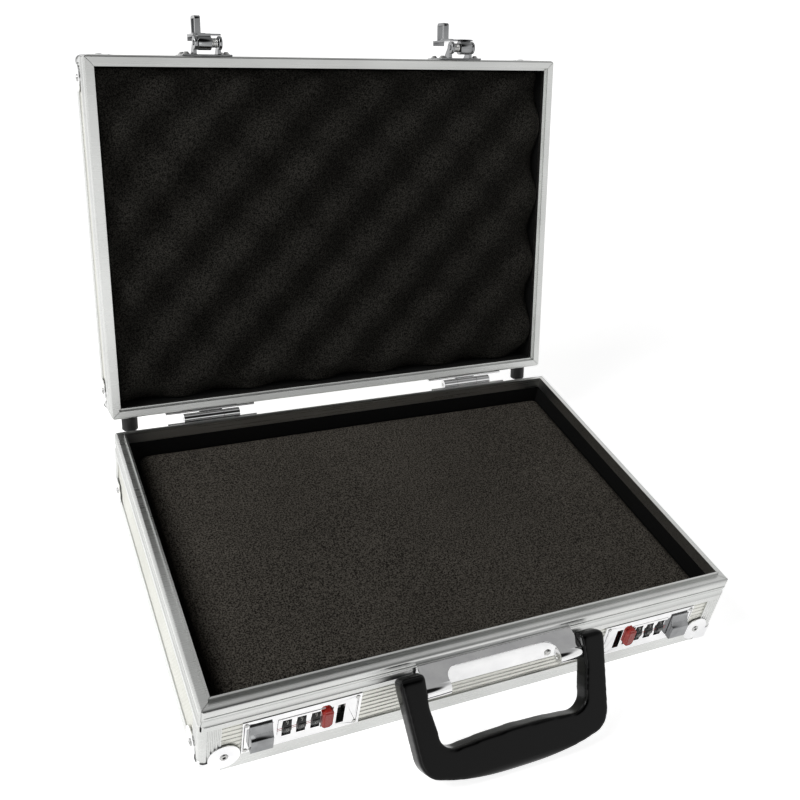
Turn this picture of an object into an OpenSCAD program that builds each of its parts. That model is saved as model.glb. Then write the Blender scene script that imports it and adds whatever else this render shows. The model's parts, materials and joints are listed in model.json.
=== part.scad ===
// Laptop hard case: aluminium edge frames, ribbed walls, two combination locks,
// a fold-down handle, a lined well with a flat pad and a lid with egg-crate foam.
// Millimetres. Origin: middle of the base's footprint, on the table.
// x runs to the right, y to the back, z up. The lid stands open, as pictured.

/* [Case] */
// Outside width over the edge frames
case_w = 450; // [430:1:480]
// Outside depth over the edge frames, front to back
case_d = 313; // [295:1:340]
// Height of the rim plane above the table
base_h = 72; // [70:1:80]
// Depth of the lid from the rim plane to its top
lid_h = 54; // [52:1:66]
// Angle the lid stands open at rest
lid_open = 108.1; // [96:0.1:109]

/* [Rims] */
// Height of the rounded bead that meets the other half
bead_h = 8; // [7:0.5:9]
// Corner radius of the bead
bead_r = 2.5; // [1.5:0.1:3]
// Height of bead, hollow band and flange together
rim_h = 21; // [20:0.5:22]
// How far the rim reaches in from the outer face
rim_w = 9.2; // [9:0.1:10]
// Height of the tongue on the base rim
tongue_h = 3; // [2:0.1:3.4]
// Thickness of the tongue
tongue_t = 1.6; // [1.2:0.1:1.8]
// Gap between the tongue and the rebate it enters
tongue_gap = 0.3; // [0.2:0.05:0.5]
// Hairline between the two rims when the case is shut
rim_gap = 0.1; // [0.05:0.05:0.2]
// Depth of the hollow band below the bead
band_dip = 1.8; // [1:0.1:2]
// Width of the hairline between two frame lengths
mitre_gap = 0.3; // [0.2:0.05:0.6]

/* [Edge frames] */
// Height of the lower and upper edge frames
edge_h = 17; // [15:0.5:18]
// Radius of the outer edges and corners
edge_r = 5; // [4:0.5:6]
// Height at which the wall panels stand in the frame
edge_seat = 12; // [10:0.5:13]
// Reach of the frame under the bottom panel
edge_reach = 14; // [12:1:20]

/* [Walls] */
// How far the walls lie behind the frames
wall_in = 1; // [0.8:0.1:1.2]
// Thickness of the ribbed wall sheet
wall_t = 2.2; // [2:0.1:2.6]
// Spacing of the ribs
rib_pitch = 4.25; // [3.5:0.05:5]
// Radius of the grooves between the ribs
rib_r = 1; // [0.8:0.05:1.1]
// Thickness of the bottom and top panels
plate_t = 3; // [2.5:0.1:3.5]
// Thickness of the floor lining
floor_t = 3; // [2.5:0.1:4]
// Width of the fluted corner posts
post_w = 16; // [15:0.5:18]
// Radius of the flutes
flute_r = 0.75; // [0.5:0.05:0.9]

/* [Corner caps] */
// Sheet thickness of the caps
cap_t = 0.8; // [0.6:0.05:1]
// Distance of each lobe's centre from the edges
cap_at = 18.3; // [17:0.1:20]
// Radius of each lobe
cap_r = 11.7; // [11:0.1:12.5]
// Side of the square web that joins the lobes
cap_web = 16; // [14:0.5:17]
// Head radius of the tubular cap rivets
cap_rivet_r = 3.2; // [2.8:0.1:3.6]

/* [Locks] */
// Distance of each lock's middle from the case's end
lock_x = 74.6; // [71:0.1:77]
// Reach of the lock plate from the lock's middle towards the handle
plate_reach = 44.3; // [44:0.1:46]
// Gap between the lock plate and the lobe of the corner cap
cap_gap = 0.4; // [0.3:0.1:0.8]
// Thickness of the lock plate
lock_t = 1.6; // [1.4:0.1:1.8]
// How far the lock plate stands in front of the frames
lock_out = 0.6; // [0.4:0.1:0.8]
// Gap above and below the lock plate
lock_gap = 0.5; // [0.3:0.1:1]
// Pitch of the three dials
dial_pitch = 10.8; // [10.6:0.05:11]
// Width of a dial
dial_w = 6.4; // [6:0.1:6.6]
// Radius of a dial
dial_r = 9.6; // [9.2:0.1:9.7]
// Side gap between a dial and its window
dial_gap = 0.2; // [0.15:0.05:0.3]
// Depth of the dial axle behind the plate's face
dial_in = 7; // [7:0.1:7.3]
// Radius of the dial axle
axle_r = 1.5; // [1.3:0.05:1.7]
// Running gap between the dials and their axle
dial_run = 0.05; // [0.03:0.01:0.09]
// Outward travel of the thumb slide
slide_travel = 5; // [4.9:0.05:5]
// Width of the neck that joins the thumb block to its bar
neck_w = 2.8; // [2.4:0.1:3]
// Thickness of the slide bar
bar_t = 1; // [0.8:0.05:1]
// Inward travel of the red button
button_travel = 1.5; // [1:0.1:1.5]
// Width of the slot that takes the staple
slot_w = 5.8; // [5.6:0.1:6]
// Sheet thickness of the lock housing
house_t = 1; // [0.8:0.05:1]

/* [Handle] */
// Half the width of the handle bracket
bracket_x = 66; // [64:0.5:68]
// Sheet thickness of the bracket
bracket_t = 1.3; // [1.2:0.1:1.6]
// Radius of the rolled barrels that hold the handle
barrel_r = 5.5; // [5:0.1:6]
// Length of each barrel
barrel_l = 19.4; // [17:0.1:21]
// Distance of the handle axle in front of the frames
handle_out = 17.8; // [17:0.1:19]
// Depth of the handle axle below the rim plane
handle_down = 15; // [14:0.5:16]
// Radius of the handle pins
grip_pin_r = 3; // [2.5:0.1:3.2]
// Running gap between the pins and their barrels
grip_run = 0.06; // [0.03:0.01:0.1]
// Side gap between the bracket and the handle's arms
arm_gap = 0.4; // [0.3:0.05:0.8]
// Thickness of the handle
grip_t = 15; // [13:0.5:15.5]
// Depth of the bracket rivets below the bracket's top
rivet_down = 21; // [20.5:0.1:21.5]
// How far the top of the bracket rises towards the case
bracket_rise = 3; // [1:0.5:4]
// How far the handle's arms run past the axle
grip_end = 14; // [10:0.5:14]
// Reach of the handle from its axle
grip_reach = 70.5; // [66:0.5:71]
// Angle the handle hangs below the horizontal
grip_drop = 51; // [44:1:51]

/* [Hasps] */
// Distance of each hasp's middle from the case's end
hasp_x = 103.5; // [102:0.1:105]
// Width of the hasp's base plate
hasp_base_w = 43; // [42:0.5:46]
// Distance of the hasp axle in front of the frames
hasp_out = 10.5; // [10.3:0.1:11]
// Height of the hasp axle above the rim plane
hasp_up = 2; // [1.5:0.1:2.5]
// Inner radius from the axle to the flap
flap_off = 6; // [5.8:0.1:6.2]
// Sheet thickness of the flap
flap_t = 1.5; // [1.2:0.1:1.6]
// Width of the flap's root
flap_w = 24; // [22:0.5:24]
// Width of the flap's tongue
flap_tongue_w = 11.6; // [10:0.1:11.8]
// Width of the staple
staple_w = 5; // [4:0.1:5]
// Height of the staple
staple_h = 15; // [13:0.5:15]
// Thickness of the staple's strap
staple_t = 2.5; // [2:0.1:3]
// Radius of the hasp pins
hasp_pin_r = 2; // [1.8:0.05:2.2]
// Running gap around the hasp pins
hasp_run = 0.05; // [0.03:0.01:0.09]

/* [Hinges] */
// Distance of each hinge's middle from the case's end
hinge_x = 90.5; // [85:0.5:100]
// Distance of the hinge axis behind the frames
hinge_out = 6.6; // [6.5:0.05:6.8]
// Depth of the hinge axis below the rim plane
hinge_down = 0.8; // [0.5:0.1:0.9]
// Outer radius of the knuckles
knuckle_r = 4.8; // [4.4:0.1:4.8]
// Length of the middle knuckle
knuckle_mid = 22; // [20:0.5:24]
// Length of each outer knuckle
knuckle_end = 15; // [14:0.5:16]
// Gap between neighbouring knuckles
knuckle_gap = 0.3; // [0.2:0.05:0.4]
// Radius of the hinge pins
hinge_pin_r = 2; // [1.8:0.05:2.2]
// Running gap around the hinge pins
hinge_run = 0.05; // [0.03:0.01:0.09]
// Width of the hinge leaves
leaf_w = 84; // [80:1:90]
// Height of the hinge leaves
leaf_h = 26; // [22:1:28]
// Thickness of the hinge leaves
leaf_t = 1.5; // [1.2:0.05:1.5]

/* [Pads and feet] */
// Height of the flat pad's top above the table
pad_top = 50; // [45:1:52]
// Distance of the lid foam's peaks from the rim plane
peak_in = 3.6; // [3.5:0.1:6]
// Depth of the valleys below the peaks
valley = 13; // [8:0.5:16]
// Half spacing of the foam's peaks across
peak_x = 33.7; // [30:0.1:38]
// Half spacing of the foam's peaks from front to back
peak_y = 34.7; // [30:0.1:38]
// Radius of the rubber feet
foot_r = 7.2; // [6:0.1:7.2]
// How far the feet stand out behind the frames
foot_out = 15.5; // [12:0.5:16]
// Depth of the base feet below the rim plane
foot_down = 30; // [29:0.5:34]
// Height of the lid feet above the rim plane, with the lid shut
foot_up = 15; // [14:0.5:16]

/* [Hidden] */
$fn = 48;
cut = 0.5;
hw = case_w / 2;
hd = case_d / 2;
close_h = base_h + lid_h;
wall_back = wall_in + wall_t;
board_out = wall_back + 0.1;
board_in = rim_w - 0.2;
rim_wall_end = rim_h - 5;
axis_y = hd + hinge_out;
axis_z = base_h - hinge_down;
lock_at = hw - lock_x;
hasp_at = hw - hasp_x;
hinge_at = hw - hinge_x;
// Locks
plate_face = -hd - lock_out;
plate_back = plate_face + lock_t;
plate_lo = edge_h + lock_gap;
plate_hi = base_h - rim_h - lock_gap;
plate_l = -hw + cap_at + cap_r + cap_gap;
plate_r = -lock_at + plate_reach;
lock_z = (plate_lo + plate_hi) / 2;
dial_y = plate_face + dial_in;
dial_z = lock_z + 0.5;
dial_x = -lock_at - 1.2;
window_h = 2 * dial_r - 2.8;
house_in = dial_y + dial_r + 0.6;
house_lo = dial_z - 12.6;
house_hi = dial_z + 12.6;
house_l = -lock_at - 38.8;
house_r = -lock_at + 33.4;
house_bore = axle_r + 0.02;
slide_x = -lock_at - 30.9;
bar_z = house_lo + house_t + 0.2;
button_x = -lock_at + 18.2;
slot_x = -hasp_at;
staple_z = lock_z + 1.5;
// Handle
grip_y = -hd - handle_out;
grip_z = base_h - handle_down;
bracket_top = grip_z + barrel_r;
// Hasps
hasp_y = -hd - hasp_out;
hasp_z = base_h + hasp_up;
staple_at = hasp_z - staple_z;
flap_root = hasp_z - plate_hi - 1.8;
flap_end = staple_at + staple_h / 2 + 2;
// Distance from the axle to the staple's tip, measured off the flap
staple_tip = 23.8;
ear_r = flap_off - 0.4;
// Feet
lid_foot_z = base_h + foot_up;
base_foot_z = base_h - foot_down;

// Which node to build

// Turns a shape drawn on the closed case into its place on the open lid
module on_lid() {
    translate([0, axis_y, axis_z])
        rotate([-lid_open, 0, 0])
            translate([0, -axis_y, -axis_z])
                children();
}

module both_x() {
    children();
    mirror([1, 0, 0]) children();
}

module four_corners() {
    both_x() {
        children();
        mirror([0, 1, 0]) children();
    }
}

// Section turned so that its x runs inwards from the front face and its y runs up
module run_x(length) {
    rotate([90, 0, 90])
        linear_extrude(height = length, center = true)
            children();
}

// Flat shape one frame length covers, with its ends on the mitre
module mitre_area(w, d) {
    g = mitre_gap * 0.71;
    polygon([
        [-w / 2 + g, -d / 2], [w / 2 - g, -d / 2],
        [w / 2 - g - 30, -d / 2 + 30], [-w / 2 + g + 30, -d / 2 + 30]
    ]);
}

// What rounds an upright corner when taken away
module corner_shave() {
    translate([-hw, -hd, -5])
        difference() {
            translate([-1, -1, 0]) cube([edge_r + 1, edge_r + 1, close_h + 10]);
            translate([edge_r, edge_r, -1]) cylinder(r = edge_r, h = close_h + 12);
        }
}

module frame_length(w, d) {
    intersection() {
        translate([0, -d / 2, 0]) run_x(w) children();
        translate([0, 0, -5]) linear_extrude(height = close_h + 10) mitre_area(w, d);
    }
}

// Four mitred lengths of one section around the case
module mitred_frame() {
    difference() {
        union() {
            frame_length(case_w, case_d) children();
            rotate([0, 0, 180]) frame_length(case_w, case_d) children();
            rotate([0, 0, 90]) frame_length(case_d, case_w) children();
            rotate([0, 0, -90]) frame_length(case_d, case_w) children();
        }
        four_corners() corner_shave();
    }
}

// Rim section: x inwards, y away from the rim plane
module rim_section() {
    difference() {
        union() {
            translate([bead_r, bead_r]) circle(r = bead_r);
            translate([bead_r, bead_h - bead_r]) circle(r = bead_r);
            translate([0, bead_r]) square([rim_w, bead_h - 2 * bead_r]);
            translate([bead_r, 0]) square([rim_w - bead_r, bead_h]);
            translate([0, bead_h - 0.8]) square([wall_back, rim_wall_end - bead_h + 0.8]);
            translate([0, rim_wall_end - cut]) square([wall_in, rim_h - rim_wall_end + cut]);
        }
        translate([band_dip - 5.2, (bead_h + rim_h) / 2 - 2]) circle(r = 5.2);
    }
}

module base_rim_section() {
    translate([0, base_h])
        mirror([0, 1])
            union() {
                rim_section();
                translate([rim_w - tongue_t, -tongue_h]) square([tongue_t, tongue_h + cut]);
            }
}

module lid_rim_section() {
    translate([0, base_h])
        difference() {
            rim_section();
            translate([-1, -1]) square([rim_w + 2, 1 + rim_gap]);
            translate([rim_w - tongue_t - tongue_gap, -1])
                square([tongue_t + tongue_gap + 1, tongue_h + cut + 1]);
        }
}

// Edge frame section: x inwards, y up from the table
module edge_section() {
    difference() {
        union() {
            translate([edge_r, cap_t + edge_r]) circle(r = edge_r);
            translate([0, cap_t + edge_r]) square([wall_back, edge_seat - cap_t - edge_r]);
            translate([edge_r, cap_t]) square([edge_reach - edge_r, 1]);
            translate([0, edge_seat - cut]) square([wall_in, edge_h - edge_seat + cut]);
        }
        translate([wall_back, cap_t + 1]) square([30, 30]);
    }
}

// Takes the sharp point off a frame's corner so that the cap's ball fits over it
module corner_nibble() {
    translate([-hw, -hd, cap_t])
        difference() {
            translate([-1, -1, -1]) cube([edge_r + 1, edge_r + 1, edge_r + 1]);
            translate([edge_r, edge_r, edge_r]) sphere(r = edge_r);
        }
}

module edge_frame() {
    difference() {
        mitred_frame() edge_section();
        four_corners() corner_nibble();
    }
}

// Rounded outer shape of a corner, grown by g
module corner_block(g) {
    r = edge_r + g;
    s = cap_at + cap_r + 2;
    translate([edge_r, edge_r, edge_r]) {
        sphere(r = r);
        cylinder(r = r, h = s);
        rotate([0, 90, 0]) cylinder(r = r, h = s);
        rotate([-90, 0, 0]) cylinder(r = r, h = s);
        translate([-r, 0, 0]) cube([s, s, s]);
        translate([0, -r, 0]) cube([s, s, s]);
        translate([0, 0, -r]) cube([s, s, s]);
    }
}

// One three-lobed cap over the front left lower corner
module corner_cap() {
    translate([-hw, -hd, cap_t])
        difference() {
            intersection() {
                corner_block(cap_t);
                union() {
                    translate([-5, -5, -5]) cube(cap_web + 5);
                    translate([cap_at, cap_at, -5]) cylinder(r = cap_r, h = 5.5);
                    translate([cap_at, 0.5, cap_at]) rotate([90, 0, 0]) cylinder(r = cap_r, h = 5.5);
                    translate([0.5, cap_at, cap_at]) rotate([0, -90, 0]) cylinder(r = cap_r, h = 5.5);
                }
            }
            corner_block(0);
            translate([cap_at, cap_at, -3]) cylinder(r = 2, h = 5);
            translate([cap_at, 2, cap_at]) rotate([90, 0, 0]) cylinder(r = 2, h = 5);
            translate([2, cap_at, cap_at]) rotate([0, -90, 0]) cylinder(r = 2, h = 5);
        }
}

// Tubular rivet: head on the +z side of the origin, shank below
module tube_rivet(head, shank, head_h, shank_l) {
    difference() {
        union() {
            cylinder(r1 = head, r2 = head - head_h * 0.7, h = head_h);
            translate([0, 0, -shank_l]) cylinder(r = shank, h = shank_l + 0.1);
        }
        translate([0, 0, -shank_l - 1]) cylinder(r = shank * 0.62, h = shank_l + head_h + 2);
    }
}

module solid_rivet(head, shank, head_h, shank_l) {
    cylinder(r1 = head, r2 = head - head_h * 0.8, h = head_h);
    translate([0, 0, -shank_l]) cylinder(r = shank, h = shank_l + 0.1);
}

// The three rivets of the front left lower cap
module cap_rivet_set() {
    translate([-hw, -hd, cap_t]) {
        translate([cap_at, -cap_t, cap_at])
            rotate([90, 0, 0]) tube_rivet(cap_rivet_r, 1.98, 0.7, cap_t);
        translate([-cap_t, cap_at, cap_at])
            rotate([0, -90, 0]) tube_rivet(cap_rivet_r, 1.98, 0.7, cap_t);
    }
}

// The flush rivet in the cap's lower lobe
module cap_rivet_flush() {
    translate([-hw + cap_at, -hd + cap_at, 0])
        difference() {
            cylinder(r = 1.98, h = cap_t);
            translate([0, 0, -1]) cylinder(r = 1.2, h = cap_t + 2);
        }
}

module post_section() {
    difference() {
        union() {
            translate([edge_r, edge_r]) circle(r = edge_r);
            translate([edge_r, 0]) square([post_w - edge_r, wall_back]);
            translate([0, edge_r]) square([wall_back, post_w - edge_r]);
        }
        translate([wall_back, wall_back]) square([post_w, post_w]);
        for (i = [0 : 3]) {
            translate([edge_r + 1.6 + i * 2.5, -flute_r * 0.25]) circle(r = flute_r, $fn = 24);
            translate([-flute_r * 0.25, edge_r + 1.6 + i * 2.5]) circle(r = flute_r, $fn = 24);
        }
    }
}

module corner_post(lo, hi) {
    translate([-hw, -hd, lo])
        linear_extrude(height = hi - lo)
            post_section();
}

// Ribbed sheet: x inwards, y up; grooves between rib_lo and rib_hi
module ribbed_section(lo, hi, rib_lo, rib_hi) {
    count = floor((rib_hi - rib_lo) / rib_pitch);
    start = (rib_lo + rib_hi - (count - 1) * rib_pitch) / 2;
    difference() {
        translate([wall_in, lo]) square([wall_t, hi - lo]);
        for (i = [0 : count - 1])
            translate([wall_in - rib_r * 0.35, start + i * rib_pitch]) circle(r = rib_r, $fn = 24);
    }
}

module long_wall(lo, hi, rib_lo, rib_hi) {
    translate([0, -hd, 0])
        run_x(case_w - 2 * post_w - 0.2)
            ribbed_section(lo, hi, rib_lo, rib_hi);
}

module end_wall(lo, hi, rib_lo, rib_hi) {
    rotate([0, 0, -90])
        translate([0, -hw, 0])
            run_x(case_d - 2 * post_w - 0.2)
                ribbed_section(lo, hi, rib_lo, rib_hi);
}

// Large ribbed panel lying flat at the bottom, ribs facing down
module flat_panel() {
    w = case_w - 2 * wall_back - 0.2;
    d = case_d - 2 * wall_back - 0.2;
    pitch = rib_pitch * 2;
    count = floor((d - 2 * edge_reach) / pitch);
    translate([0, 0, cap_t + 1])
        run_x(w)
            difference() {
                translate([-d / 2, 0]) square([d, plate_t]);
                for (i = [0 : count - 1])
                    translate([(i - (count - 1) / 2) * pitch, -rib_r * 0.35]) circle(r = rib_r, $fn = 24);
            }
}

// Four wall boards and a floor board
module lining(lo, hi) {
    w = case_w - 2 * board_out;
    d = case_d - 2 * board_out;
    t = board_in - board_out;
    floor_z = cap_t + 1 + plate_t;
    wall_z = floor_z + floor_t + 0.2;
    translate([-w / 2, -d / 2, floor_z]) cube([w, d, floor_t]);
    translate([-w / 2, -d / 2, wall_z]) cube([w, t, hi - wall_z]);
    translate([-w / 2, d / 2 - t, wall_z]) cube([w, t, hi - wall_z]);
    both_x()
        translate([-w / 2, -d / 2 + t + 0.2, wall_z]) cube([t, d - 2 * t - 0.4, hi - wall_z]);
}

module base_rim() {
    color([0.8, 0.8, 0.8]) mitred_frame() base_rim_section();
}

module base_edge_frame() {
    color([0.8, 0.8, 0.8]) edge_frame();
}

module base_corner_posts() {
    color([0.75, 0.75, 0.75]) four_corners() corner_post(edge_h, base_h - rim_h);
}

module lock_hole() {
    translate([house_l - 0.2, -hd - 1, house_lo - 0.2])
        cube([house_r - house_l + 0.4, 20, house_hi - house_lo + 0.4]);
}

module base_front_panel() {
    color([0.7, 0.7, 0.7])
        difference() {
            long_wall(edge_seat, base_h - rim_wall_end, edge_h, base_h - rim_h);
            both_x() {
                lock_hole();
                lock_rivet_spots()
                    rotate([90, 0, 0]) cylinder(r = 1.25, h = 12, center = true);
            }
            bracket_spots()
                rotate([90, 0, 0]) cylinder(r = 1.65, h = 12, center = true);
        }
}

module base_rear_panel() {
    color([0.7, 0.7, 0.7])
        mirror([0, 1, 0]) long_wall(edge_seat, base_h - rim_wall_end, edge_h, base_h - rim_h);
}

module base_end_panels() {
    color([0.7, 0.7, 0.7])
        both_x() end_wall(edge_seat, base_h - rim_wall_end, edge_h, base_h - rim_h);
}

module base_bottom_panel() {
    color([0.7, 0.7, 0.7]) flat_panel();
}

module base_corner_caps() {
    color([0.85, 0.85, 0.87]) four_corners() corner_cap();
}

module base_cap_rivets() {
    color([0.6, 0.6, 0.62])
        four_corners() {
            cap_rivet_set();
            cap_rivet_flush();
        }
}

// Notch from below that lets the front board down over a lock
module lining_notch() {
    foot = cap_t + 1 + plate_t + floor_t + 0.1;
    translate([house_l - 0.2, -hd - 1, foot])
        cube([house_r - house_l + 0.4, 20, house_hi + 0.2 - foot]);
}

module base_lining_boards() {
    color([0.05, 0.05, 0.05])
        difference() {
            lining(0, base_h - bead_h);
            both_x() lining_notch();
        }
}

// Flat pad with softened upper edges; the left front edge stands back behind the lock
pad_l = -hw + 20;
pad_r = hw - board_in - 0.6;
pad_f = -hd + board_in + 0.6;
pad_b = hd - board_in - 0.6;
pad_bottom = cap_t + 1 + plate_t + floor_t;
lock_bay = house_in + house_t + 1;
pad_edge = [
    [pad_l, pad_b - 3], [pad_l, lock_bay + 67.9], [pad_l + 1, lock_bay + 19.9],
    [pad_l + 5, lock_bay - 0.1], [pad_l + 9, lock_bay - 2], [pad_l + 20, lock_bay + 1],
    [pad_l + 33, lock_bay + 7], [-lock_at - 6.6, lock_bay + 9.9], [-lock_at + 25.4, lock_bay + 11.4],
    [-lock_at + 57.4, lock_bay + 9.9], [-lock_at + 74.4, lock_bay + 4.9],
    [-lock_at + 88.4, pad_f + 6.9], [-lock_at + 100.4, pad_f],
    [house_ends(), pad_f], [house_ends() + 2, lock_bay],
    [pad_r - 10.4, lock_bay], [pad_r - 8.4, pad_f],
    [pad_r - 3, pad_f], [pad_r, pad_f + 3], [pad_r, pad_b - 3], [pad_r - 3, pad_b], [pad_l + 3, pad_b]
];
function house_ends() = -house_r - 8;
pad_mid = [5, 8];

module pad_slice(inset, lo, hi) {
    k = inset / 150;
    translate([pad_mid[0] * k, pad_mid[1] * k, lo])
        linear_extrude(height = hi - lo)
            scale([1 - inset / (hw - 12), 1 - inset / (hd - 10.5)])
                polygon(pad_edge);
}

module base_foam_pad() {
    color([0.04, 0.04, 0.04]) {
        pad_slice(0, pad_bottom, pad_top - 3);
        pad_slice(0.6, pad_top - 3.1, pad_top - 1.4);
        pad_slice(1.7, pad_top - 1.5, pad_top - 0.5);
        pad_slice(3.2, pad_top - 0.6, pad_top);
    }
}

module foot(z, from) {
    translate([-hw + 18, from, z])
        rotate([-90, 0, 0])
            difference() {
                union() {
                    cylinder(r = foot_r, h = foot_out + hd - from - 1.2);
                    translate([0, 0, foot_out + hd - from - 1.3])
                        cylinder(r1 = foot_r, r2 = foot_r - 1.2, h = 1.3);
                }
                translate([0, 0, foot_out + hd - from - 3]) cylinder(r = 3, h = 4);
            }
}

module base_feet() {
    color([0.08, 0.08, 0.08])
        both_x() translate([8.5, 0, 0]) foot(base_foot_z, hd - wall_in);
}

// Locks, drawn on the left; the right one is mirrored

module lock_rivet_spots() {
    for (x = [(plate_l + house_l) / 2, plate_r - 3.5])
        for (z = [plate_lo + 3, plate_hi - 3])
            translate([x, plate_face, z])
                children();
}

module lock_plate() {
    difference() {
        union() {
            translate([plate_l, plate_face, plate_lo])
                cube([plate_r - plate_l, lock_t, plate_hi - plate_lo]);
            translate([dial_x - 1.5 * dial_pitch - 1.4, plate_face - 0.5, dial_z - window_h / 2 - 2])
                cube([3 * dial_pitch + 2.6, 1, window_h + 4]);
        }
        for (i = [-1 : 1])
            translate([dial_x + i * dial_pitch - dial_w / 2 - dial_gap, plate_face - 2, dial_z - window_h / 2])
                cube([dial_w + 2 * dial_gap, 5, window_h]);
        translate([button_x - 4.35, plate_face - 2, lock_z - 9.2]) cube([8.7, 5, 18.4]);
        translate([slot_x - slot_w / 2, plate_face - 2, staple_z - 12.3]) cube([slot_w, 5, 20.3]);
        translate([slide_x - neck_w / 2 - slide_travel - 0.3, plate_face - 2, lock_z - 4.4])
            cube([neck_w + slide_travel + 0.7, 5, 8.8]);
        lock_rivet_spots()
            rotate([90, 0, 0]) cylinder(r = 1.25, h = 8, center = true);
    }
}

// Open box behind the plate, with the two cheeks that carry the dial axle
module lock_housing() {
    depth = house_in - plate_back;
    difference() {
        translate([house_l, plate_back, house_lo])
            cube([house_r - house_l, depth + house_t, house_hi - house_lo]);
        translate([house_l + house_t, plate_back - 1, house_lo + house_t])
            cube([house_r - house_l - 2 * house_t, depth + 1, house_hi - house_lo - 2 * house_t]);
    }
    difference() {
        for (x = [dial_x - dial_pitch - dial_w / 2 - 1.1, dial_x + dial_pitch + dial_w / 2 + 0.3])
            translate([x, plate_back + 0.6, dial_z - 5]) cube([0.8, depth - 0.5, 10]);
        translate([dial_x - 25, dial_y, dial_z]) rotate([0, 90, 0]) cylinder(r = house_bore, h = 50);
    }
}

module dial_axle() {
    translate([dial_x - dial_pitch - dial_w / 2 - 1.1, dial_y, dial_z])
        rotate([0, 90, 0])
            cylinder(r = axle_r, h = 2 * dial_pitch + dial_w + 2.2);
}

// Number wheel with ten flutes; i is -1, 0 or 1 from left to right
module dial(i) {
    translate([dial_x + i * dial_pitch, dial_y, dial_z])
        rotate([0, 90, 0])
            difference() {
                union() {
                    cylinder(r = dial_r, h = dial_w - 1.2, center = true);
                    cylinder(r = dial_r - 0.6, h = dial_w, center = true);
                }
                cylinder(r = axle_r + dial_run, h = dial_w + 2, center = true);
                for (a = [0 : 9])
                    rotate([0, 0, a * 36])
                        translate([dial_r + 0.45, 0, 0])
                            cylinder(r = 1.1, h = dial_w + 2, center = true, $fn = 24);
            }
}

// Thumb block with a scooped upper half and the neck that goes through the plate
module thumb_slide() {
    lo = lock_z - 11.8;
    hi = lock_z + 11.8;
    translate([slide_x - 8.25, 0, 0])
        rotate([90, 0, 90])
            linear_extrude(height = 16.5)
                difference() {
                    polygon([
                        [plate_face - 0.3, lo], [plate_face - 5, lo], [plate_face - 5.7, lo + 1],
                        [plate_face - 5.9, lo + 12.8], [plate_face - 5.2, lo + 13.4],
                        [plate_face - 1.6, hi], [plate_face - 0.3, hi]
                    ]);
                    translate([plate_face - 12.3, hi - 1.8]) circle(r = 11);
                }
    translate([slide_x - neck_w / 2, plate_face - 0.6, lock_z - 4])
        cube([neck_w, lock_t + 2.4, 8]);
    translate([slide_x - neck_w / 2, plate_back + 0.2, bar_z + bar_t])
        cube([neck_w, 1.6, lock_z - 3 - bar_z - bar_t]);
}

// Flat bar that runs under the dials to the bolt
module slide_bar() {
    translate([slide_x - neck_w / 2, plate_back + 0.2, bar_z])
        cube([slot_x - 3.9 - slide_x + neck_w / 2, 6.3, bar_t]);
}

// Hook that stands on the bar and enters the hasp's staple
module bolt() {
    foot = bar_z + bar_t;
    translate([slot_x - 6.4, dial_y - 1.6, foot]) cube([2.5, 2.7, staple_z + 2.5 - foot]);
    translate([slot_x - 6.4, dial_y - 1.6, staple_z - 2.5]) cube([8.6, 2.7, 5]);
}

module code_button() {
    hx = 4.15;
    hz = 9;
    c = 2.3;
    translate([button_x, plate_face - 3, lock_z])
        rotate([-90, 0, 0])
            linear_extrude(height = 6.3)
                polygon([
                    [-hx, -hz + c], [-hx + c, -hz], [hx - c, -hz], [hx, -hz + c],
                    [hx, hz - c], [hx - c, hz], [-hx + c, hz], [-hx, hz - c]
                ]);
    translate([button_x - hx + 1.4, plate_face - 3.5, lock_z - hz + 2])
        cube([2 * hx - 2.8, 1, 2 * hz - 4]);
}

module lock_plate_left() {
    color([0.8, 0.8, 0.82]) lock_plate();
}

module lock_plate_right() {
    color([0.8, 0.8, 0.82]) mirror([1, 0, 0]) lock_plate();
}

module lock_housing_left() {
    color([0.6, 0.6, 0.62]) lock_housing();
}

module lock_housing_right() {
    color([0.6, 0.6, 0.62]) mirror([1, 0, 0]) lock_housing();
}

module lock_rivets() {
    color([0.7, 0.7, 0.72])
        both_x()
            lock_rivet_spots()
                rotate([90, 0, 0]) solid_rivet(1.9, 1.2, 0.6, lock_out + wall_back - 0.1);
}

module dial_axles() {
    color([0.6, 0.6, 0.62]) both_x() dial_axle();
}

module left_thumb_slide() {
    color([0.85, 0.85, 0.85]) thumb_slide();
}

module right_thumb_slide() {
    color([0.85, 0.85, 0.85]) mirror([1, 0, 0]) thumb_slide();
}

module left_slide_bar() {
    color([0.6, 0.6, 0.62]) slide_bar();
}

module right_slide_bar() {
    color([0.6, 0.6, 0.62]) mirror([1, 0, 0]) slide_bar();
}

module left_bolt() {
    color([0.6, 0.6, 0.62]) bolt();
}

module right_bolt() {
    color([0.6, 0.6, 0.62]) mirror([1, 0, 0]) bolt();
}

module left_code_button() {
    color([0.75, 0.08, 0.06]) code_button();
}

module right_code_button() {
    color([0.75, 0.08, 0.06]) mirror([1, 0, 0]) code_button();
}

module left_dial_1() {
    color([0.05, 0.05, 0.05]) dial(-1);
}

module left_dial_2() {
    color([0.05, 0.05, 0.05]) dial(0);
}

module left_dial_3() {
    color([0.05, 0.05, 0.05]) dial(1);
}

module right_dial_1() {
    color([0.05, 0.05, 0.05]) mirror([1, 0, 0]) dial(1);
}

module right_dial_2() {
    color([0.05, 0.05, 0.05]) mirror([1, 0, 0]) dial(0);
}

module right_dial_3() {
    color([0.05, 0.05, 0.05]) mirror([1, 0, 0]) dial(-1);
}

// Handle bracket

module bracket_spots() {
    for (x = [barrel_l / 2 - 5, barrel_l / 2 + 5])
        for (side = [-1, 1])
            translate([side * (bracket_x - x), -hd - bracket_t, bracket_top - rivet_down])
            children();
}

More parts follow.
